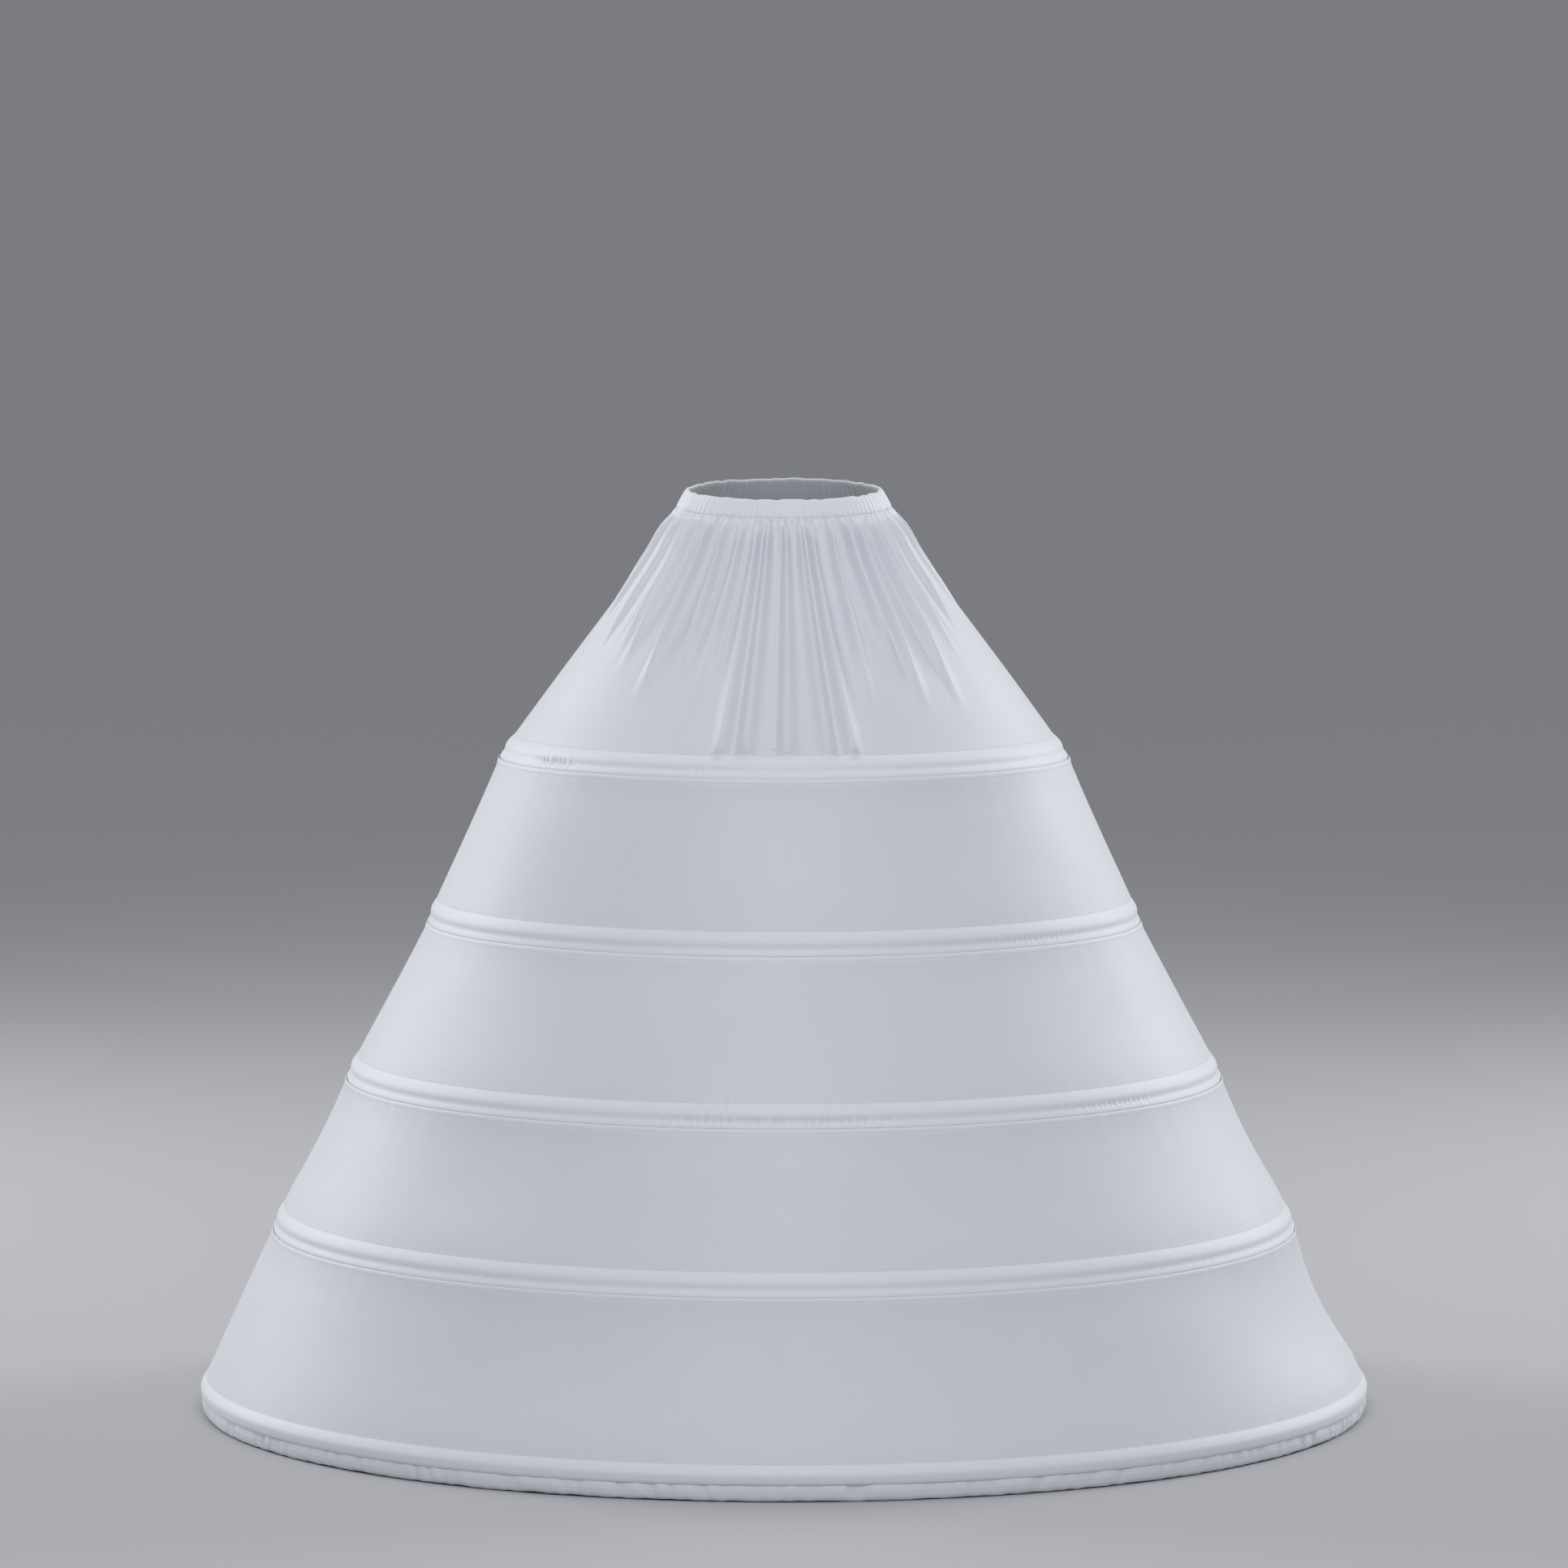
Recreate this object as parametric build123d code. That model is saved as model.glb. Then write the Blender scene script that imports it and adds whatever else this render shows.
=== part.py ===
from build123d import *
from math import asin, atan2, cos, hypot, pi, sin, tan
import os

# Floor-length hoop petticoat: five hoops hold out a gathered top panel and four plain cloth tiers.
# The origin is the middle of the hem on the floor, +Z is up, and the front faces -Y.
# All sizes are in millimetres.

# Hoops, from the one below the waist down to the hem, to the outer face at half the band's width
top_hoop_radius = 333.0
hem_hoop_radius = 712.0
hoop_spread_shares = (0.0, 0.248, 0.507, 0.749, 1.0)  # way out from the first hoop to the hem
top_hoop_height = 826.0
hem_hoop_height = 36.0
hoop_drop_shares = (0.0, 0.256, 0.499, 0.734, 1.0)  # way down from the first hoop to the hem
hoop_width = 8.0  # along the slope of the cloth
hoop_thickness = 2.0
hoop_end_gap = 2.0  # between the two ends, at the back

# Flat sleeve that joins the two ends of a hoop
joiner_length = 20.0
joiner_wall = 0.4
joiner_clearance = 0.1

# Cloth
cloth_thickness = 1.0
cloth_clearance = 0.2  # between the cloth and what it holds
seam_gap = 0.1  # between two cloths that are sewn together
facet_count = 40  # flat facets round a cloth ring

# Casing tapes, sewn inside the tiers
cover_lip = 1.5  # cloth below the lower edge of a hoop
groove_height = 17.0  # tape showing between two tiers
notch_depth = 2.5  # top of the next tier inside the line of the cloth above it
tape_slope_share = 0.3  # slope of a tape over the slope of the flatter cloth next to it

# Hem, below the lowest hoop
hem_groove_height = 8.0  # groove below the ridge over the hoop
hem_groove_inset = 4.0  # groove inside that ridge
hem_roll_share = 0.6  # height of the soft roll over the height of the groove above it
hem_roll_inset = 1.5  # roll inside it
hem_edge_inset = 6.0  # lower edge inside it

# Waist
waist_half_width = 120.0
waist_half_depth = 92.0
waist_height = 1133.0  # upper edge at the sides
waist_front_dip = 9.0  # front edge below the sides, and back edge above them
band_height = 32.0
band_flare = 18.0  # lower edge outside the upper edge
elastic_rise = 5.5  # lower edge of the elastic above the lower edge of the waistband
elastic_thickness = 1.5
elastic_clearance = 0.4  # all round, in the waistband
waist_facet_count = 36

# Gathers of the top panel, two points each
seam_gather_depth = 2.8
full_gather_depth = 9.0
full_gather_share = 0.3  # way down from the waist seam to the first casing
gather_end_rise = 4.0  # smooth cloth above the first casing

hoop_spread = hem_hoop_radius - top_hoop_radius
hoop_drop = top_hoop_height - hem_hoop_height
hoop_radii = [top_hoop_radius + share * hoop_spread for share in hoop_spread_shares]
hoop_heights = [top_hoop_height - share * hoop_drop for share in hoop_drop_shares]
# Rise of the most curved hoop's arc inside a straight joiner
joiner_bow = joiner_length**2 / (8 * top_hoop_radius)
# A joiner's outer faces beyond the hoop's own, and the room between the hoop and the cloth that holds both
joiner_margin = joiner_bow + joiner_clearance + joiner_wall
cover_gap = joiner_margin + cloth_clearance
# A facet's middle lies nearer the axis than its corners by this share of the radius
facet_sag_share = 1 - cos(pi / facet_count)
# Volume spanned by four corners that still counts as flat
flat_share = 1e-6
flat_tolerance = flat_share * cloth_thickness**3


def ring(half_width, half_depth, height, count, dip=0, inset=0):
    # Points of an oval, tilted by the dip towards the front, with every second point moved in by the inset
    points = []
    for step in range(count):
        angle = 2 * pi * step / count
        shrink = inset * (step % 2)
        x = (half_width - shrink) * cos(angle)
        y = (half_depth - shrink) * sin(angle)
        points.append(Vector(x, y, height + dip * sin(angle)))
    return points


def round_ring(flat_radius, height, split=1):
    # Points of a round ring whose facets' middles lie at the radius, with each facet in one or two parts
    corner_radius = flat_radius / cos(pi / facet_count)
    inset = (corner_radius - flat_radius) * (split - 1)
    return ring(corner_radius, corner_radius, height, split * facet_count, 0, inset)


def quad_faces(a, b, c, d):
    # One face where the four corners lie in a plane, else two triangles that share the shorter diagonal
    if abs((b - a).cross(c - a).dot(d - a)) < flat_tolerance:
        loops = [(a, b, c, d)]
    elif (c - a).length < (d - b).length:
        loops = [(a, b, c), (a, c, d)]
    else:
        loops = [(a, b, d), (b, c, d)]
    return [Face(Wire.make_polygon(loop)) for loop in loops]


def cloth_solid(rows):
    # Closed solid whose section is a loop: each row of points joins the next, and the last joins the first
    faces = []
    for row, next_row in zip(rows, rows[1:] + rows[:1]):
        level = {point.Z for point in (*row, *next_row)}
        if len(level) == 1:
            wires = [Wire.make_polygon(row), Wire.make_polygon(next_row)]
            inner, outer = sorted(wires, key=lambda wire: wire.length)
            faces.append(Face(outer, [inner]))
            continue
        corners = zip(row, row[1:] + row[:1], next_row[1:] + next_row[:1], next_row)
        for quad in corners:
            faces.extend(quad_faces(*quad))
    return Solid(Shell(faces))


def section(*points):
    # Flat face of a section, from radius and height pairs
    return make_face(Polyline(*((radius, 0, height) for radius, height in points), close=True))


def slope_below(index, last_slope):
    # Radius gained for each unit of height from a hoop to the next one down, if there is one
    if index + 1 == len(hoop_radii):
        return last_slope
    return (hoop_radii[index + 1] - hoop_radii[index]) / (hoop_heights[index] - hoop_heights[index + 1])


class Cover:
    # The sloping cloth over one hoop, as a line of inner radius against height, and the tape behind the hoop

    def __init__(self, index, top_radius, top_height, groove):
        self.top_radius = top_radius
        self.top_height = top_height
        self.hoop_radius = hoop_radii[index]
        self.hoop_height = hoop_heights[index]
        # The line from the top that passes the hoop's outer face at the cover gap
        run = self.hoop_radius - top_radius
        drop = top_height - self.hoop_height
        self.slope = tan(atan2(run, drop) + asin(cover_gap / hypot(run, drop)))
        self.slant = hypot(1, self.slope)
        self.wall = cloth_thickness * self.slant
        self.low_height = self.along(hoop_width / 2, 0)[1] - cover_lip
        self.groove_low_height = self.low_height - groove
        # The tape leaves the cloth where the wedge between them is wide enough for the hoop and its joiner
        self.tape_slope = tape_slope_share * min(self.slope, slope_below(index, self.slope))
        self.tape_wall = cloth_thickness * hypot(1, self.tape_slope)
        room = (hoop_thickness + 2 * cover_gap) * self.slant + facet_sag_share * self.hoop_radius
        wedge = (room - seam_gap) / (self.slope - self.tape_slope)
        joiner_top_height = self.along(-hoop_width / 2 - joiner_margin, -joiner_margin)[1]
        self.tape_top_height = joiner_top_height + wedge
        # Below the joiner the tape bends out to the seam at the foot of the groove
        self.tape_bend_height = self.low_height - cover_lip
        self.seam_radius = self.inner_radius(self.groove_low_height) - notch_depth

    def inner_radius(self, height):
        return self.top_radius + self.slope * (self.top_height - height)

    def tape_radius(self, height):
        top_radius = self.inner_radius(self.tape_top_height) - seam_gap
        return top_radius + self.tape_slope * (self.tape_top_height - height)

    def along(self, run, depth):
        # Point of the hoop's section: the run goes down the slope, the depth into the cloth
        radius = self.hoop_radius + (run * self.slope - depth) / self.slant
        height = self.hoop_height - (run + depth * self.slope) / self.slant
        return radius, height

    def band_section(self, margin):
        # Section of the hoop's flat band, grown by a margin on every side
        half_width = hoop_width / 2 + margin
        return section(
            self.along(-half_width, -margin),
            self.along(half_width, -margin),
            self.along(half_width, hoop_thickness + margin),
            self.along(-half_width, hoop_thickness + margin),
        )


def make_hoop(cover):
    # Flat band that follows the slope of the cloth, open at the back
    gap_angle = 360 * hoop_end_gap / (2 * pi * cover.hoop_radius)
    start = to_back * Rot(0, 0, gap_angle / 2) * cover.band_section(0)
    return revolve(start, axis=Axis.Z, revolution_arc=360 - gap_angle)


def make_joiner(cover):
    # Flat straight sleeve over the two ends, with room for the bow of the hoop in it
    sleeve = cover.band_section(joiner_margin) - cover.band_section(joiner_margin - joiner_wall)
    return extrude(to_back * sleeve, amount=joiner_length / 2, both=True)


def make_casing(cover, low_radius):
    # Tape behind the hoop, from the stitches above it down past the joiner and out to the foot of the groove
    profile = [
        (cover.tape_radius(cover.tape_top_height), cover.tape_top_height),
        (cover.tape_radius(cover.tape_bend_height), cover.tape_bend_height),
        (low_radius, cover.groove_low_height + seam_gap),
    ]
    outside = [round_ring(radius, height) for radius, height in profile]
    inside = [round_ring(radius - cover.tape_wall, height) for radius, height in profile]
    return cloth_solid(outside + inside[::-1])


def make_tier(cover, hem_profile=()):
    # Plain cloth from the tape above to the lip under the hoop, and on down the hem's profile if it has one
    profile = [
        (cover.inner_radius(cover.top_height), cover.top_height),
        (cover.inner_radius(cover.low_height), cover.low_height),
        *hem_profile,
    ]
    inside = [round_ring(radius, height) for radius, height in profile]
    outside = [round_ring(radius + cover.wall, height) for radius, height in profile]
    return cloth_solid(outside + inside[::-1])


def hem_points(cover):
    # Below the lowest hoop the cloth dips into a groove, swells to a soft roll and turns in at the floor
    ridge_radius = cover.inner_radius(cover.low_height)
    return (
        (ridge_radius - hem_groove_inset, cover.groove_low_height),
        (ridge_radius - hem_roll_inset, hem_roll_share * cover.groove_low_height),
        (ridge_radius - hem_edge_inset, 0),
    )


def make_top_panel(cover):
    # Gathered cloth: an oval of shallow gathers under the waistband, deep ones below it, and a smooth ring at the hoop
    count = 2 * facet_count
    smooth_height = cover.tape_top_height + gather_end_rise
    smooth_radius = cover.inner_radius(smooth_height) + cover.wall
    full = full_gather_share
    full_height = seam_height + full * (smooth_height - seam_height)
    full_half_width = seam_half_width + full * (smooth_radius - seam_half_width)
    full_half_depth = seam_half_depth + full * (smooth_radius - seam_half_depth)
    full_dip = waist_front_dip * (1 - full)
    low_radius = cover.inner_radius(cover.low_height) + cover.wall

    def skin(inset):
        return [
            ring(
                seam_half_width - inset,
                seam_half_depth - inset,
                seam_height,
                count,
                waist_front_dip,
                seam_gather_depth,
            ),
            ring(
                full_half_width - inset,
                full_half_depth - inset,
                full_height,
                count,
                full_dip,
                full_gather_depth,
            ),
            round_ring(smooth_radius - inset, smooth_height, 2),
            round_ring(low_radius - inset, cover.low_height, 2),
        ]

    return cloth_solid(skin(0) + skin(cover.wall)[::-1])


def waist_ring(drop, inset):
    # Ring of the flared waistband, at a drop below its upper edge and an inset from its outer face
    flare = band_flare * drop / band_height
    half_width = waist_half_width + flare - inset
    half_depth = waist_half_depth + flare - inset
    return ring(half_width, half_depth, waist_height - drop, waist_facet_count, waist_front_dip)


def make_waistband():
    # Strip folded over at the top, with an open-bottomed channel for the elastic
    channel_in = cloth_thickness + elastic_thickness + 2 * elastic_clearance
    band_in = channel_in + cloth_thickness
    return cloth_solid(
        [
            waist_ring(band_height, 0),
            waist_ring(0, 0),
            waist_ring(0, band_in),
            waist_ring(band_height, band_in),
            waist_ring(band_height, channel_in),
            waist_ring(cloth_thickness, channel_in),
            waist_ring(cloth_thickness, cloth_thickness),
            waist_ring(band_height, cloth_thickness),
        ]
    )


def make_elastic():
    # Flat elastic in the waistband's channel
    outer_in = cloth_thickness + elastic_clearance
    inner_in = outer_in + elastic_thickness
    top_drop = outer_in
    low_drop = band_height - elastic_rise
    return cloth_solid(
        [
            waist_ring(low_drop, outer_in),
            waist_ring(top_drop, outer_in),
            waist_ring(top_drop, inner_in),
            waist_ring(low_drop, inner_in),
        ]
    )


# Turn from the +X side to the back
to_back = Rot(0, 0, 90)

# Seam between the waistband and the top panel
seam_height = waist_height - band_height - seam_gap
seam_half_width = waist_half_width + band_flare
seam_half_depth = waist_half_depth + band_flare

# Covers from the top one down: each starts at the seam below the one above
groove_heights = [groove_height] * (len(hoop_radii) - 1) + [hem_groove_height]
covers = [Cover(0, seam_half_width, seam_height, groove_heights[0])]
for index in range(1, len(hoop_radii)):
    above = covers[-1]
    covers.append(Cover(index, above.seam_radius, above.groove_low_height, groove_heights[index]))
hem_profile = hem_points(covers[-1])
# The foot of each tape is sewn to the top of the next tier, and the last one lies inside the hem's groove
tape_low_radii = [cover.top_radius + cover.wall for cover in covers[1:]]
tape_low_radii.append(hem_profile[0][0] - seam_gap)

parts = {
    "waistband": make_waistband(),
    "waist_elastic": make_elastic(),
    "top_panel": make_top_panel(covers[0]),
    "hem_tier": make_tier(covers[-1], hem_profile),
}
for number, cover in enumerate(covers, start=1):
    parts[f"hoop_{number}"] = make_hoop(cover)
    parts[f"hoop_joiner_{number}"] = make_joiner(cover)
    parts[f"hoop_casing_{number}"] = make_casing(cover, tape_low_radii[number - 1])
    if 1 < number < len(covers):
        parts[f"tier_{number}"] = make_tier(cover)

os.makedirs("parts", exist_ok=True)
for name, solid in parts.items():
    export_step(solid, f"parts/{name}.step")
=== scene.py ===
import math

import bpy
import numpy as np
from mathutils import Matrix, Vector


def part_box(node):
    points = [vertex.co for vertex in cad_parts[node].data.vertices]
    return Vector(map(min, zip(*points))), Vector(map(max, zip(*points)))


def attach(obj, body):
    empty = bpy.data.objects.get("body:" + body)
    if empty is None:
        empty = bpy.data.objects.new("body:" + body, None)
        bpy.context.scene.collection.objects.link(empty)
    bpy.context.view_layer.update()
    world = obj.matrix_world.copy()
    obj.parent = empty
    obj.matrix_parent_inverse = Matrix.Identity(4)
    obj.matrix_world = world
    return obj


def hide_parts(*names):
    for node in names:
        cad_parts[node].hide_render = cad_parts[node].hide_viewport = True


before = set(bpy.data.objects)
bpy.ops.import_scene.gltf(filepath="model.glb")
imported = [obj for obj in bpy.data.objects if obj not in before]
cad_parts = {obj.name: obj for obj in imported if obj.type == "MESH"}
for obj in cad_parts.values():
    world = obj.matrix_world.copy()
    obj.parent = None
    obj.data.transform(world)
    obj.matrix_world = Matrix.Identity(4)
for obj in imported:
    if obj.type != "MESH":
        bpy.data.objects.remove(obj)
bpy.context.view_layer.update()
mm = 0.001  # the scene is in metres, the sizes in the dictionaries are in millimetres
front = -np.pi / 2  # the angle round the ring that faces the camera
draw = np.random.default_rng(41)  # one source for every uneven size
print("frame loaded:", len(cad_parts), "nodes")


# a new object, linked to the scene
def addObject(name, data):
    thing = bpy.data.objects.new(name, data)
    bpy.context.scene.collection.objects.link(thing)
    return thing


# sRGB hex to linear: below 0.04045 a straight line, above it a power of 2.4
def linear(hexColour):
    srgb = np.array([int(hexColour[i:i + 2], 16) / 255 for i in (1, 3, 5)])
    return (*np.where(srgb <= 0.04045, srgb / 12.92, ((srgb + 0.055) / 1.055) ** 2.4), 1.0)


# adds a node, sets its properties and inputs, and links the inputs that are given as sockets;
# an input is given by its name, or as _ and its place where names repeat
def addNode(tree, kind, settings=None, **inputs):
    node = tree.nodes.new(kind)
    for key, value in (settings or {}).items():
        setattr(node, key, value)
    for key, value in inputs.items():
        socket = node.inputs[int(key[1:]) if key[0] == "_" else key.replace("_", " ")]
        if isinstance(value, bpy.types.NodeSocket):
            tree.links.new(value, socket)
        else:
            socket.default_value = value
    return node


# a material with an empty node tree
def newMaterial(name):
    material = bpy.data.materials.new(name)
    material.use_nodes = True
    material.node_tree.nodes.clear()
    return material, material.node_tree


# joins the shader to the material's output
def finishMaterial(tree, shader):
    addNode(tree, "ShaderNodeOutputMaterial", Surface=shader.outputs["BSDF"])


# what the cloths have in common
weaving = {
    "wander": 0.6,  # how far a thread strays, in waves
    "threadStrength": 0.35,
    "rumpleStrength": 0.5,
    "glossDrift": 0.05,  # of the roughness, either way
    "ior": 1.5,
    "sheenRoughness": 0.45,
    "waveTurn": 20.0,  # radians that the wave texture turns in a metre at scale 1
}


# plain-woven polyester, pressed: a cool white that drifts a little in tone over a hand's width, a lighter
# copy of it where the cloth lies double over the casings and folds, brightened further as painted highlight
# for the light those raised bands catch, a soft even gloss on the folds, a faint thread grid and slight
# unevenness where the cloth has been folded away and hung again
def wovenPolyester(name, cloth):
    w = weaving
    material, tree = newMaterial(name)
    uv = addNode(tree, "ShaderNodeUVMap", {"uv_map": "cloth"})
    place = addNode(tree, "ShaderNodeTexCoord").outputs["Object"]
    period = 2 * cloth["threadSpacing"] * mm  # one thread over and one under to a wave
    waves = [addNode(tree, "ShaderNodeTexWave", {"wave_type": "BANDS", "bands_direction": direction},
                     Vector=uv.outputs["UV"], Scale=2 * math.pi / (w["waveTurn"] * period),
                     Distortion=w["wander"], Detail=1.0)
             for direction in ("X", "Y")]
    weave = addNode(tree, "ShaderNodeMath", {"operation": "MULTIPLY"}, _0=waves[0].outputs["Fac"],
                    _1=waves[1].outputs["Fac"])
    drift = addNode(tree, "ShaderNodeTexNoise", Vector=place, Scale=1 / (cloth["toneSize"] * mm), Detail=2.0)
    tone = addNode(tree, "ShaderNodeMix", {"data_type": "RGBA"}, _0=drift.outputs["Fac"],
                   _6=linear(cloth["colour"]), _7=linear(cloth["secondColour"]))
    # the doubled-highlight mask: a lighter tone where the cloth lies double, and painted highlight on the
    # casing bands and folded edges
    doubledHighlight = addNode(tree, "ShaderNodeAttribute", {"attribute_name": "doubledHighlight"})
    white = addNode(tree, "ShaderNodeMix", {"data_type": "RGBA"}, _0=doubledHighlight.outputs["Fac"],
                    _6=tone.outputs[2], _7=linear(cloth["doubledHighlightColour"]))
    rumple = addNode(tree, "ShaderNodeTexNoise", Vector=place, Scale=1 / (cloth["rumpleSize"] * mm),
                     Detail=3.0)
    soft = addNode(tree, "ShaderNodeBump", Strength=w["rumpleStrength"], Distance=cloth["rumpleDepth"] * mm,
                   Height=rumple.outputs["Fac"])
    bump = addNode(tree, "ShaderNodeBump", Strength=w["threadStrength"], Distance=cloth["threadDepth"] * mm,
                   Height=weave.outputs["Value"], Normal=soft.outputs["Normal"])
    gloss = addNode(tree, "ShaderNodeMapRange", _0=drift.outputs["Fac"],
                    _3=cloth["roughness"] - w["glossDrift"], _4=cloth["roughness"] + w["glossDrift"])
    shader = addNode(tree, "ShaderNodeBsdfPrincipled", Base_Color=white.outputs[2],
                     Roughness=gloss.outputs[0], IOR=w["ior"], Sheen_Weight=cloth["sheen"],
                     Sheen_Roughness=w["sheenRoughness"], Normal=bump.outputs["Normal"])
    finishMaterial(tree, shader)
    return material


# drawn, spun or pressed parts with a fine grain: a noise in the gloss and a slight bump
def grainedFinish(name, colour, roughness, grain, depth, metallic=0.0, glossDrift=0.08, bumpStrength=0.4):
    material, tree = newMaterial(name)
    place = addNode(tree, "ShaderNodeTexCoord")
    noise = addNode(tree, "ShaderNodeTexNoise", Vector=place.outputs["Object"], Scale=1 / (grain * mm),
                    Detail=2.0)
    gloss = addNode(tree, "ShaderNodeMapRange", _0=noise.outputs["Fac"], _3=roughness - glossDrift,
                    _4=roughness + glossDrift)
    bump = addNode(tree, "ShaderNodeBump", Strength=bumpStrength, Distance=depth * mm,
                   Height=noise.outputs["Fac"])
    shader = addNode(tree, "ShaderNodeBsdfPrincipled", Base_Color=linear(colour), Roughness=gloss.outputs[0],
                     Metallic=metallic, Normal=bump.outputs["Normal"])
    finishMaterial(tree, shader)
    return material


# the real threads lie about 0.3 mm apart, too fine to show, so the grid is drawn nearly four times as coarse
# the doubled-highlight colour is a lighter copy of the cloth, partly painted highlight on the raised bands
skirtCloth = wovenPolyester("wovenPolyesterWhite", {
    "colour": "#dfe0e8", "secondColour": "#d7dae3", "doubledHighlightColour": "#e3e7ee",
    "roughness": 0.55, "sheen": 0.3, "toneSize": 190.0,
    "threadSpacing": 1.1, "threadDepth": 0.12, "rumpleSize": 34.0, "rumpleDepth": 0.5})
# matter and a shade darker than the skirt, with a coarser thread
tapeCloth = wovenPolyester("twillTapeWhite", {
    "colour": "#d3d4de", "secondColour": "#cbcdd8", "doubledHighlightColour": "#d0d1db",
    "roughness": 0.7, "sheen": 0.2, "toneSize": 120.0,
    "threadSpacing": 1.4, "threadDepth": 0.2, "rumpleSize": 20.0, "rumpleDepth": 0.4})
# a bright hair line on the matt cloth
threadFinish = grainedFinish("spunPolyesterThread", "#e2e3ea", roughness=0.5, grain=0.6, depth=0.1)
# a smooth milky coat
hoopFinish = grainedFinish("nylonCoatedSteelBand", "#e6e6e4", roughness=0.35, grain=3.0, depth=0.05)
# dull tin with crimp marks
sleeveFinish = grainedFinish("crimpedTinplate", "#b9bbbe", roughness=0.3, grain=1.5, depth=0.1, metallic=1.0)
# a matt rubbery braid
elasticFinish = grainedFinish("braidedElastic", "#dddcd8", roughness=0.8, grain=1.2, depth=0.4)
print("materials made")


# widest radius and lowest height of a round CAD node
def nodeSpan(node):
    low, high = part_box(node)
    return high.x, low.z


# Catmull-Rom curve through the points: on each span a cubic with its slopes from the neighbouring points
def smoothLine(points, perSpan):
    knots = np.asarray(points, float)
    padded = np.vstack([2 * knots[0] - knots[1], knots, 2 * knots[-1] - knots[-2]])
    t = np.linspace(0, 1, perSpan, endpoint=False)[None, :, None]
    before, start, end, after = (padded[i:len(padded) - 3 + i, None] for i in range(4))
    spans = 0.5 * (2 * start + (end - before) * t + (2 * before - 5 * start + 4 * end - after) * t**2
                   + (3 * start - before - 3 * end + after) * t**3)
    return np.vstack([spans.reshape(-1, knots.shape[1]), knots[-1:]])


# 0 below the start, 1 above the end, and a cubic ease between them
def ease(start, end, value):
    t = np.clip((value - start) / (end - start), 0, 1)
    return t * t * (3 - 2 * t)


# a bell: 1 at the middle, falling with the square of the distance over the width
def bell(value, middle, width):
    return np.exp(-((value - middle) / width) ** 2)


# an angle brought to within half a turn of zero
def turned(angle):
    return np.angle(np.exp(1j * angle))


# even angles round the ring, from +X towards +Y
def anglesRound(count):
    return np.arange(count) * 2 * np.pi / count


# uneven wave round the ring: random heights at a number of even places, eased from each to the next
def unevenRound(angles, places):
    heights = draw.uniform(-1, 1, places)
    place = np.mod(angles, 2 * np.pi) / (2 * np.pi) * places
    left = np.floor(place).astype(int)
    part = ease(0, 1, place - left)
    return heights[left % places] * (1 - part) + heights[(left + 1) % places] * part


# uneven strength round the ring: 1 less the unevenness, moved up and down by as much in an uneven wave
def unevenStrength(angles, places, uneven):
    return 1 - uneven + uneven * unevenRound(angles, places)


# how many even places of about the spacing go round a ring
def placesRound(radius, spacing):
    return int(2 * np.pi * radius / (spacing * mm))


# ovals of half width a and half depth b, their height tilted by the dip towards the front: one row of points,
# or as many rows as the sizes have
def oval(angles, a, b, height, dip=0.0):
    x, y, z = a * np.cos(angles), b * np.sin(angles), height + dip * np.sin(angles)
    return np.stack(np.broadcast_arrays(x, y, z), axis=-1)


# points on the straight fall from a top line to a low line: a share of the way, an extra run along it and a
# lift off it
def hang(top, low, share, extra, lift):
    fall = low - top
    length = np.linalg.norm(fall, axis=1)
    along = fall / length[:, None]
    outward = low * [1, 1, 0] / np.linalg.norm(low[:, :2], axis=1)[:, None]
    reach = (along * outward).sum(axis=1)
    off = outward * -along[:, 2:] + np.array([0, 0, 1]) * reach[:, None]
    run = share[:, None] * length[None] + extra[:, None]
    return top[None] + along[None] * run[..., None] + off[None] * lift[..., None]


# a mesh that rides on the one body, with smooth faces
def addPiece(name, points, quads, material):
    mesh = bpy.data.meshes.new(name)
    mesh.from_pydata(points.reshape(-1, 3), [], quads)
    mesh.polygons.foreach_set("use_smooth", np.ones(len(quads), bool))
    mesh.materials.append(material)
    mesh.update()
    piece = addObject(name, mesh)
    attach(piece, "root")
    return piece


# rows of points to a wall closed round the ring, with a UV map in metres round and down, and for each row the
# share of it that takes the lighter doubled-cloth colour, which is partly painted highlight
def ringMesh(name, points, material, thickness, doubledHighlight=1.0):
    rows, columns = points.shape[:2]
    index = np.arange(rows * columns).reshape(rows, columns)
    beside = np.roll(index, -1, axis=1)
    quads = np.stack([index[:-1], index[1:], beside[1:], beside[:-1]], axis=-1).reshape(-1, 4)
    piece = addPiece(name, points, quads, material)
    radius = np.linalg.norm(points[..., :2], axis=2).mean()
    down = np.linalg.norm(np.diff(points, axis=0), axis=2).mean(axis=1)
    down = np.concatenate([[0], np.cumsum(down)])
    step = 2 * np.pi * radius / columns
    left = np.broadcast_to(np.arange(columns) * step, (rows - 1, columns))
    upper = np.broadcast_to(down[:-1, None], left.shape)
    lower = np.broadcast_to(down[1:, None], left.shape)
    corners = [(left, upper), (left, lower), (left + step, lower), (left + step, upper)]
    uvs = np.stack([np.stack(corner, axis=-1) for corner in corners], axis=2)
    piece.data.uv_layers.new(name="cloth").data.foreach_set("uv", uvs.ravel())
    # pieces given no mask take the doubled-highlight colour all over, so the waistband and hem strip carry
    # the painted highlight throughout
    shares = np.repeat(np.broadcast_to(doubledHighlight, rows), columns)
    piece.data.attributes.new("doubledHighlight", "FLOAT", "POINT").data.foreach_set("value", shares)
    wall = piece.modifiers.new("clothThickness", "SOLIDIFY")
    wall.thickness = thickness * mm
    wall.offset = -1
    return piece


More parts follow.
